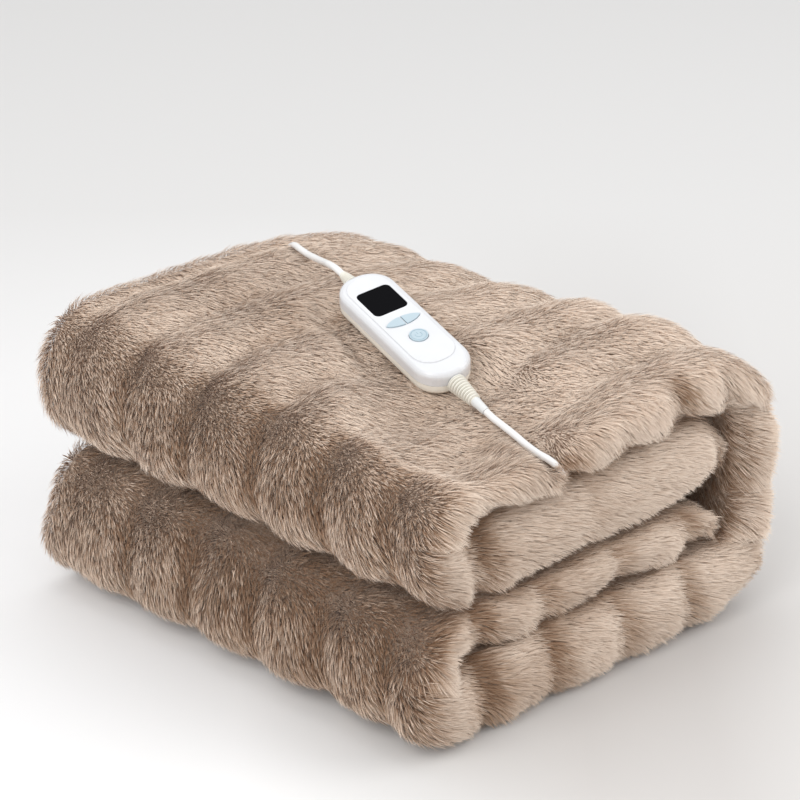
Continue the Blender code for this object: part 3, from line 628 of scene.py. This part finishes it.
def room_for_pile(points, lines):
    """0 next to the controller and the cords, 1 away from them."""
    local, _ = in_controller_axes(points)
    beyond = np.maximum(np.abs(local[:, :2]) - (BODY_LENGTH / 2, BODY_WIDTH / 2), 0.0)
    room = share((np.linalg.norm(beyond, axis=1) - ROOM_START) / BODY_ROOM)
    for line in lines:
        line = np.array(line)[::3]
        for part in np.array_split(np.arange(len(points)), 20):
            gap = np.linalg.norm(points[part][:, None, :] - line[None, :, :], axis=2).min(axis=1)
            room[part] = np.minimum(room[part], share((gap - ROOM_START) / CORD_ROOM))
    return room


def pressed_in(places):
    """1 where the controller and the lead press the pile in, 0 away from there."""
    return share(PRESSED_GAIN * np.max(mounds(places, PRESSED), axis=0))


def ridges(points, normals, edges):
    """How far each vertex stands above the folds' even surface, where there are ridges."""
    run = points[edges[:, 1]] - points[edges[:, 0]]
    along_folds = np.abs(run[:, 1]) > 0.75 * np.linalg.norm(run, axis=1)
    level = np.stack([averaged(points[:, axis], edges[along_folds], len(points), RELIEF_ROUNDS)
                      for axis in range(3)], axis=1)
    relief = ((points - level) * normals).sum(axis=1)
    steep = share((0.75 - np.abs(normals[:, 1])) / 0.35)
    inland = between(np.abs(points[:, 1]), *RIDGES_END_Y)
    return np.clip(relief * steep * inland, -GREATEST_RELIEF, GREATEST_RELIEF)


def reach_surface(lines):
    """The stack's surface, as far as the pile reaches, and how deep each place lies."""
    smooth = refined()
    points, normals, _ = mesh_arrays(smooth)
    edges = edges_of(smooth)
    relief = ridges(points, normals, edges)
    # How far each place lies in a crease: strands there are shorter and get painted shade
    crease = averaged(np.clip(-relief / CREASE_RELIEF, -1.0, 1.0), edges, len(points), 1)
    crease *= 1 - 0.9 * pressed_in(points)
    lumps = sum(height * lattice_noise(points, size, seed) for height, size, seed in LUMPS)
    full = FULLNESS + sum(amount * mound for mound, amount
                          in zip(mounds(points, FULLER), FULLER_AMOUNTS))
    near = between(points[:, 0], *TURN_NOTCH_X) * between(points[:, 1], *TURN_NOTCH_Y)
    for height, depth in TURN_NOTCHES:
        full -= depth * near * np.exp(-((points[:, 2] - height) / TURN_NOTCH_HALF) ** 2)
    shift = relief * RIDGE_GAIN + lumps + full * room_for_pile(points, lines)
    shift *= share(points[:, 2] / FLOOR_FADE)
    points = shape_front(points + normals * shift[:, None])
    smooth.vertices.foreach_set("co", points.astype(np.float32).ravel())
    smooth.update()
    return smooth, crease


def lobe_places(places):
    """For each place: its layer, how near a notch, how far along its lobe, how high in it."""
    forward = np.clip(-places[:, 1] / SADDLE_END_Y, -1, 1)
    height = places[:, 2] / (1 + SADDLE * forward * places[:, 0])
    layer = np.full(len(places), -1)
    notch, along, level = np.zeros((3, len(places)))
    for number, (low, high, _, notches) in enumerate(LOBES):
        here = (height >= low) & (height < high)
        level[here] = (height[here] - low) / (high - low)
        x = places[here, 0] + NOTCH_LEAN * (level[here] - 0.5)
        ends = np.array([-LAYER_ENDS_X] + [place for place, _ in notches] + [LAYER_ENDS_X])
        right = np.clip(np.searchsorted(ends, x), 1, len(ends) - 1)
        layer[here] = number
        along[here] = share((x - ends[right - 1]) / (ends[right] - ends[right - 1]))
        notch[here] = np.max([deep * np.exp(-((x - place) / NOTCH_HALF) ** 2)
                              for place, deep in notches], axis=0)
    return layer, notch, along, level


def shape_front(points):
    """Gives the front folds their lobes: notches between them, and edges that hang."""
    layer, notch, along, level = lobe_places(points)
    swell = 4 * along * (1 - along)
    moved = points.copy()
    bins = np.linspace(-0.18, 0.18, 31)
    centres = np.concatenate([[bins[0]], (bins[:-1] + bins[1:]) / 2, [bins[-1]]])
    for number, (_, _, reach, _) in enumerate(LOBES):
        here = np.flatnonzero((layer == number) & (points[:, 1] < FRONT_HALF_Y))
        place = np.digitize(points[here, 0], bins)
        known = np.unique(place)
        front = [points[here[place == i], 1].min() for i in known]
        solid_front = np.interp(points[here, 0], centres[known], front)
        target = reach + notch[here] - LOBE_SWELL * swell[here]
        near = smoothstep(share(1 - (points[here, 1] - solid_front) / LOBE_INLAND))
        near *= between(np.abs(points[here, 0]), *LOBE_REACH_X)
        moved[here, 1] += (target - solid_front) * near
        sag = LOBE_SAG * (swell[here] - 0.35) * share(1.1 - 1.6 * level[here])
        moved[here, 2] -= sag * near * (number > 0)
    return moved


def edges_of(data):
    edges = np.zeros(len(data.edges) * 2, np.int32)
    data.edges.foreach_get("vertices", edges)
    return edges.reshape(-1, 2)


def averaged(values, edges, count, rounds):
    """Each vertex's value, evened out along the edges given."""
    degree = np.bincount(edges.ravel(), minlength=count)
    for _ in range(rounds):
        total = np.bincount(edges[:, 0], values[edges[:, 1]], count)
        total += np.bincount(edges[:, 1], values[edges[:, 0]], count)
        mean = np.where(degree > 0, total / np.maximum(degree, 1), values)
        values = 0.5 * values + 0.5 * mean
    return values


def pile_depths(data, tree):
    """Depth of the pile at each vertex: less where the ply is thin."""
    points, normals, _ = mesh_arrays(data)
    depths = np.empty(len(points))
    for i, (point, normal) in enumerate(zip(points, normals)):
        inward = Vector(-normal)
        found = tree.ray_cast(Vector(point) + inward * 0.0004, inward, THICKEST_PLY)
        depths[i] = min(PILE_DEPTH, PILE_SHARE * (found[3] or THICKEST_PLY))
    return averaged(depths, edges_of(data), len(points), 3)


def openness(points, normals, triangles, tree):
    """Share of the view that each triangle has outwards, from 0 in a closed gap to 1."""
    rays = []
    for i in range(OPEN_RAYS):
        height = 0.25 + 0.7 * (i + 0.5) / OPEN_RAYS
        angle = i * 2.39996      # the golden angle, which spreads the rays evenly
        flat = math.sqrt(1 - height * height)
        rays.append(Vector((flat * math.cos(angle), flat * math.sin(angle), height)))
    centres = points[triangles].mean(axis=1)
    outward = unit(normals[triangles].mean(axis=1))
    result = np.zeros(len(centres))
    for i, (centre, normal) in enumerate(zip(centres, outward)):
        turn = Vector(normal).to_track_quat("Z", "Y").to_matrix()
        start = Vector(centre) + Vector(normal) * 0.0008
        result[i] = sum(tree.ray_cast(start, turn @ ray, OPEN_REACH)[0] is None
                        for ray in rays) / OPEN_RAYS
    return result


def build_cloth(data, depths):
    """The cloth under the pile, on the fold of its solid."""
    points, normals, _ = mesh_arrays(data)
    inner = points - normals * depths[:, None]
    data.vertices.foreach_set("co", inner.astype(np.float32).ravel())
    data.update()
    data.shade_smooth()
    cloth = link_object(bpy.data.objects.new("throw_cloth", data))
    thinner = cloth.modifiers.new("thinner", "DECIMATE")
    thinner.ratio = CLOTH_SHARE
    assign(cloth, cloth_material())
    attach(cloth, BLANKET_BODY)
    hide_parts("blanket")
    return cloth


def comb_directions(places, normals, front, level):
    """Which way the pile lies at each place, along the surface.

    On the front lobes it fans out from each lobe's left edge: up and right at the top of
    the layer, right in the middle and down at the bottom.
    """
    comb = np.tile(COMB, (len(places), 1))
    comb[:, 0] += 0.30 * lattice_noise(places, 0.060, 3) + 0.45 * front
    comb[:, 2] -= 0.80 + 0.35 * lattice_noise(places, 0.045, 4)
    comb[:, 2] += front * (1.35 * level - 0.25 - 1.2 * share(1 - 3.0 * level))
    return unit(comb - normals * (comb * normals).sum(axis=1, keepdims=True))


def scattered(data, depths, crease, free):
    """A random place on the surface for each strand, with what is known there."""
    points, normals, triangles = mesh_arrays(data)
    a, b, c = (points[triangles[:, i]] for i in range(3))
    cross = np.cross(b - a, c - a)
    density = np.linalg.norm(cross, axis=1) / 2 * (LEAST_OPEN + free ** 0.7)
    density[(unit(cross)[:, 2] < -0.85) & (a[:, 2] < 0.02)] *= UNDERSIDE_SHARE
    chosen = np.searchsorted(np.cumsum(density) / density.sum(),
                             (np.arange(STRANDS) + RNG.random(STRANDS)) / STRANDS)
    chosen = np.minimum(chosen, len(triangles) - 1)
    u, v = RNG.random((2, STRANDS, 1))
    u, v = np.where(u + v > 1, 1 - u, u), np.where(u + v > 1, 1 - v, v)
    weights = np.concatenate([1 - u - v, u, v], axis=1)
    corners = triangles[chosen]
    places = (points[corners] * weights[:, :, None]).sum(axis=1)
    outward = unit((normals[corners] * weights[:, :, None]).sum(axis=1))
    depth, sunk = ((values[corners] * weights).sum(axis=1) for values in (depths, crease))
    return places, outward, depth, sunk, free[chosen]


def place_fields(places, outward, sunk, free):
    """What a strand's place does to it, as fields that mostly run from 0 to 1."""
    x, y, z = places.T
    out_x, out_y, out_z = outward.T
    layer, notch, along_lobe, level = lobe_places(places)
    front = between(y, *FRONT_Y) * (layer >= 0) * share(0.35 - 1.1 * out_y)
    fanned = front * (layer < len(LOBES) - 1)
    begins = fanned * between(along_lobe, 0.45, 0.0) ** 1.5
    begins[layer == 2] *= 0.5
    # The front lobes' notches count as creases: shorter strands and painted shade there
    sunk = np.maximum(sunk, front * share(notch / 0.006))
    pressed = pressed_in(places)
    # The pile opens where the rounded folds turn down and shows its roots; there its strands also
    # get painted shade
    far_left = between(outward @ np.array(FAR_LEFT), 0.75, 1.0)
    opened = share(-1.3 * out_x) * share(0.75 + out_z) * (1 - 0.6 * far_left) * (1 - pressed)
    leftward = share(-1.4 * out_x) * (1 - pressed)
    rearward = between(y, *REAR_Y)
    low = between(z, *LOW_Z)
    return {
        "everywhere": 1.0, "level": level, "fanned": fanned, "begins": begins,
        "fringe": front * share(1 - 2.2 * level), "sunk": sunk, "opened": opened,
        "patch": lattice_noise(places, 0.035, 6), "shade": lattice_noise(places, 0.03, 7),
        "far_left": far_left, "leftward": leftward, "rightward": between(x, *RIGHT_X),
        "rearward": rearward, "low": low, "on_turn": between(x, *TURN_X),
        # Under the upper fold's overhang, where painted shade goes
        "painted_overhang_shade": leftward * low * share(2.5 * out_z - 0.6) * (1 - 0.8 * rearward),
        "turned_down": share(-out_x - 0.2) * share(0.3 - out_z),
        "hanging": share(0.6 - out_z), "facing_front": share(-out_y),
        # Where a gap closes in, where painted shade goes
        "painted_gap_shade": share(0.85 - free),
    }


def weighed(fields, weights):
    """The weights added up, each times the field or fields that its key names."""
    return sum(weight * math.prod(fields[name] for name in names.split("*"))
               for names, weight in weights.items())


def tuft_guides(places, outward):
    """For each strand, the one that leads its tuft, and whether that one is near enough."""
    guides = np.arange(0, STRANDS, CLUMP_SHARE) + RNG.integers(0, CLUMP_SHARE)
    guides = guides[guides < STRANDS]
    tree = KDTree(len(guides))
    for i, guide in enumerate(guides):
        tree.insert(Vector(places[guide]), i)
    tree.balance()
    guide = guides[[tree.find(Vector(place))[1] for place in places]]
    near = np.linalg.norm(places - places[guide], axis=1) < CLUMP_REACH
    return guide, near & ((outward * outward[guide]).sum(axis=1) > 0.6)


def grow_strands(data, depths, crease, free):
    """Root, middle and tip of every strand, with its tone, painted light and shade included, and
    the surface's normal.
    """
    places, outward, depth, sunk, free = scattered(data, depths, crease, free)
    fields = place_fields(places, outward, sunk, free)
    along = comb_directions(places, outward, fields["fanned"], fields["level"])
    wander = (WANDER * RNG.standard_normal(STRANDS)
              + WANDER_PATCHES * lattice_noise(places, 0.020, 5))
    along = unit(along + np.cross(outward, along) * wander[:, None])
    lift = weighed(fields, LIFT) + weighed(fields, LIFT_SPREAD) * RNG.standard_normal(STRANDS)
    rise = weighed(fields, RISE) + RISE_SPREAD * RNG.standard_normal(STRANDS)
    length = np.maximum(depth * STRAND_STRETCH, LEAST_LENGTH)
    length *= LENGTHS[0] + LENGTHS[1] * RNG.random(STRANDS)
    length *= 1 - SUNK_SHORTER * np.maximum(fields["sunk"], 0.0)
    length *= 1 + FRINGE_LONGER * fields["fringe"]
    roots = places - outward * depth[:, None]
    lower, upper = (
        (along * np.cos(angle)[:, None] + outward * np.sin(angle)[:, None]) * (length / 2)[:, None]
        for angle in (np.radians(rise), np.radians(lift)))
    middles = roots + lower
    tips = middles + upper

    guide, led = tuft_guides(places, outward)
    pull = np.where(led, weighed(fields, PULL) * (0.5 + RNG.random(STRANDS)), 0.0)[:, None]
    tips += (tips[guide] - tips) * pull
    middles += (middles[guide] - middles) * pull * MIDDLE_PULL

    # Painted light and shade from the weights, with random tone for the strand and its tuft
    tone = weighed(fields, TONE_AND_PAINTED_LIGHT)
    tone += weighed(fields, TONE_SPREAD) * RNG.standard_normal(STRANDS)
    tone += weighed(fields, TUFT_TONE_SPREAD) * RNG.standard_normal(STRANDS)[guide]
    soft = np.clip(weighed(fields, SOFT), -1.0, 1.0)
    return roots, middles, tips, np.clip(tone, 0.02, 0.98), soft, outward, places


def keep_clear(points, lines):
    """Moves strand points out of the controller, the cords and the floor."""
    local, matrix = in_controller_axes(points)
    inside = ((np.abs(local[:, 0]) < BODY_LENGTH / 2 + BODY_CLEAR)
              & (np.abs(local[:, 1]) < BODY_WIDTH / 2 + BODY_CLEAR)
              & (local[:, 2] > -LOWER_HEIGHT - BODY_CLEAR)
              & (local[:, 2] < UPPER_HEIGHT + ABOVE_BODY))
    local[inside, 2] = -LOWER_HEIGHT - 1.5 * BODY_CLEAR
    points = np.where(inside[:, None], local @ matrix[:3, :3].T + matrix[:3, 3], points)
    wall = CORD_D / 2 + CORD_CLEAR
    for line in lines:
        line = np.array(line)
        near = np.flatnonzero(((points > line.min(axis=0) - 0.01)
                               & (points < line.max(axis=0) + 0.01)).all(axis=1))
        for part in np.array_split(near, max(1, len(near) // 20000)):
            gap = points[part][:, None, :] - line[None, :, :]
            distance = np.linalg.norm(gap, axis=2)
            closest = distance.argmin(axis=1)
            rows = np.arange(len(part))
            least = distance[rows, closest]
            away = gap[rows, closest] / np.maximum(least, 1e-9)[:, None]
            away[:, 2] = np.minimum(away[:, 2], 0.2)
            hit = least < wall
            points[part[hit]] = line[closest[hit]] + unit(away[hit]) * wall
    points[:, 2] = np.maximum(points[:, 2], LOWEST_TIP)
    return points


def build_pile(data, depths, crease, free, lines, material):
    """The strands as pieces of about equal size, each on one side of the stack."""
    (roots, middles, tips, tone, soft, outward,
     places) = grow_strands(data, depths, crease, free)
    middles, tips = keep_clear(middles, lines), keep_clear(tips, lines)
    heading = unit(tips - roots)
    side = unit(np.cross(heading, outward))
    other = np.cross(heading, side)
    roll = RNG.standard_normal(len(roots)) * (0.28 + 0.30 * np.maximum(-soft, 0.0))
    side = side * np.cos(roll)[:, None] + other * np.sin(roll)[:, None]
    facing = np.sign((np.cross(side, heading) * outward).sum(axis=1))
    side *= np.where(facing == 0, 1.0, facing)[:, None]
    uneven = 1.0 - 0.7 * np.maximum(soft, 0.0)[:, None]
    shade = outward + 0.50 * uneven * np.cross(side, heading)
    shade = np.stack([unit(shade - lean * heading) for lean in LEANS], axis=1)
    width = STRAND_WIDTH * (WIDTHS[0] + WIDTHS[1] * RNG.random(len(roots)))[:, None] / 2
    corners = np.stack([roots, middles + side * width, middles - side * width, tips], axis=1)
    order = np.argsort(np.arctan2(places[:, 1], places[:, 0]) + 10 * (outward[:, 2] > 0.7),
                       kind="stable")
    made = []
    for number, part in enumerate(np.array_split(order, PIECES)):
        made.append(pile_piece(f"throw_pile_{number + 1}", corners[part], tone[part],
                               soft[part], shade[part], material))
    return made


def pile_piece(name, corners, tone, soft, shade, material):
    """Strands of two triangles each, pointed at root and tip and bent in the middle."""
    count = len(corners)
    data = bpy.data.meshes.new(name)
    data.vertices.add(count * 4)
    data.vertices.foreach_set("co", corners.astype(np.float32).ravel())
    loops = np.arange(count)[:, None] * 4 + np.array([[0, 1, 2, 2, 1, 3]])
    data.loops.add(count * 6)
    data.loops.foreach_set("vertex_index", loops.astype(np.int32).ravel())
    data.polygons.add(count * 2)
    data.polygons.foreach_set("loop_start", np.arange(0, count * 6, 3).astype(np.int32))
    data.update(calc_edges=True)
    data.shade_smooth()
    data.normals_split_custom_set_from_vertices(shade.reshape(-1, 3).tolist())
    layer = data.uv_layers.new(name="OFBake")
    across = np.array([[0, 1, -1, -1, 1, 0]]) * 0.004
    softer = np.maximum(soft, 0.0)
    root = ROOT_PLACE + SOFT_ROOT * softer
    middle = MIDDLE_PLACE + SOFT_MIDDLE * softer + OPEN_MIDDLE * np.minimum(soft, 0.0)
    along = np.stack([root] + [middle] * 4 + [np.full(count, TIP_PLACE)], axis=1)
    # Across the map each strand's tone, painted light and shade included; along it root to tip
    places = np.stack([np.clip(tone[:, None] + across, 0.0, 1.0), along], axis=2)
    layer.uv.foreach_set("vector", places.astype(np.float32).ravel())
    piece = link_object(bpy.data.objects.new(name, data))
    piece.data.materials.append(material)
    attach(piece, BLANKET_BODY)
    return piece


def build_throw(lines):
    data, crease = reach_surface(lines)
    points, normals, triangles = mesh_arrays(data)
    tree = BVHTree.FromPolygons([Vector(p) for p in points], triangles.tolist())
    depths = pile_depths(data, tree)
    free = openness(points, normals, triangles, tree)
    pile = build_pile(data, depths, crease, free, lines, pile_material())
    cloth = build_cloth(data, depths)


# ---------------- controller and plug
def turned_piece(name, profile, matrix, material):
    """A profile of (height, radius) turned about local Z, closed at both ends."""
    mesh = bmesh.new()
    rings = []
    for height, radius in profile:
        angles = [math.tau * i / SEGMENTS for i in range(SEGMENTS)]
        rings.append([mesh.verts.new((radius * math.cos(a), radius * math.sin(a), height))
                      for a in angles])
    for ring, following in zip(rings, rings[1:]):
        for i in range(SEGMENTS):
            j = (i + 1) % SEGMENTS
            mesh.faces.new((ring[i], ring[j], following[j], following[i]))
    mesh.faces.new(rings[0][::-1])
    mesh.faces.new(rings[-1])
    data = bpy.data.meshes.new(name)
    mesh.to_mesh(data)
    mesh.free()
    data.shade_smooth()
    data.materials.append(material)
    piece = link_object(bpy.data.objects.new(name, data))
    piece.matrix_world = matrix
    sharp = piece.modifiers.new("sharp", "EDGE_SPLIT")
    sharp.split_angle = SHARP_ANGLE
    return piece


def ribbed_profile(end, ribs, radii):
    """A flange and then rounded ribs on a core, tapering from the first to the last."""
    flange, first, last, core = radii
    pitch = (end - RIB_START) / ribs
    profile = [(FIT, flange), (FLANGE, flange)]
    for i in range(ribs):
        radius = first + (last - first) * i / (ribs - 1)
        for part, across in ((0.0, core), (0.03, radius - RIB_EDGE), (0.12, radius),
                             (0.42, radius), (0.51, radius - RIB_EDGE), (0.54, core)):
            profile.append((RIB_START + pitch * (i + part), across))
    return profile + [(end, core)]


def build_reliefs():
    """The lead's ribbed relief with the clear sleeve past it, and the mains cord's."""
    ivory = moulded("relief_ribs", (0.80, 0.785, 0.72), 0.42)
    ribs = turned_piece("lead_relief_ribs", ribbed_profile(RIBS_END, RIB_COUNT, LEAD_RADII),
                        relief_matrix(1), ivory)
    clear = moulded("relief_sleeve", (0.70, 0.72, 0.725), 0.22, Coat_Weight=0.4)
    sleeve = turned_piece("lead_relief_sleeve",
                          [(RIBS_END + 0.0001, 0.0035), (RIBS_END + 0.0022, 0.0036),
                           (RIBS_END + 0.0030, 0.0033), (LEAD_RELIEF_LENGTH - 0.0010, 0.0029),
                           (LEAD_RELIEF_LENGTH, 0.0026)], relief_matrix(1), clear)
    end = MAINS_RELIEF_LENGTH - MAINS_COLLAR
    mains = turned_piece("mains_relief_ribs",
                         ribbed_profile(end, MAINS_RIB_COUNT, MAINS_RADII)
                         + [(end + 0.0001, 0.0031), (MAINS_RELIEF_LENGTH, 0.0028)],
                         relief_matrix(-1), ivory)
    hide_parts("lead_strain_relief")
    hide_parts("mains_strain_relief")
    for piece in (ribs, sleeve, mains):
        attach(piece, BLANKET_BODY)
    return [ribs, sleeve], mains


def arc(radius, start, end, count):
    """Points round the power key's middle; 180 degrees is towards the window."""
    angles = [math.radians(start + (end - start) * i / (count - 1)) for i in range(count)]
    return [(POWER_X + radius * math.cos(a), radius * math.sin(a)) for a in angles]


def build_power_mark():
    """A ring and a plain power mark as raised lines that ride on their key."""
    rim = moulded("key_rim", (0.36, 0.49, 0.57), 0.35)
    for name, points, thickness in (
            ("power_rim", arc(RIM_RADIUS, 0, 360, 49), RIM_HALF),
            ("power_mark_arc", arc(MARK_RADIUS, -MARK_OPENING, MARK_OPENING, 25), MARK_HALF),
            ("power_mark_bar", [(POWER_X - x, 0.0) for x in MARK_BAR], MARK_HALF)):
        points = [controller_frame() @ Vector((x, y, KEY_TOP)) for x, y in points]
        line = tube(name, points, thickness, 2, rim)
        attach(line, "power_key")


def build_hard_pieces():
    shell = moulded("shell_gloss", (0.690, 0.705, 0.735), 0.20, Coat_Weight=0.3,
                    Coat_Roughness=0.08)
    # The underside's ivory tint is a painted warm reflection of the fur
    underside = moulded("shell_underside_painted_bounce", (0.82, 0.80, 0.735), 0.22, Coat_Weight=0.3)
    window = moulded("window_gloss", (0.003, 0.003, 0.004), 0.30, grain=0.00001,
                     Specular_IOR_Level=0.02)
    button = moulded("button_satin", (0.45, 0.56, 0.63), 0.34)
    plug = moulded("plug_satin", (0.80, 0.80, 0.79), 0.38)
    tie = moulded("tie_weave", (0.05, 0.05, 0.052), 0.8, grain=0.0003)
    brass = moulded("blade_brass", (0.78, 0.60, 0.30), 0.24, Metallic=1.0)
    for names, material in (
            (("controller_upper_shell",), shell), (("controller_lower_shell",), underside),
            (("display_window",), window),
            (("button_warmer", "button_cooler", "button_power"), button),
            (("plug_body", "plug_relief"), plug), (("cord_tie",), tie),
            (("plug_blade_a", "plug_blade_b"), brass)):
        for name in names:
            assign(NODES[name], material)
    build_power_mark()


build_camera()
build_studio()
build_throw(build_cords())
build_hard_pieces()
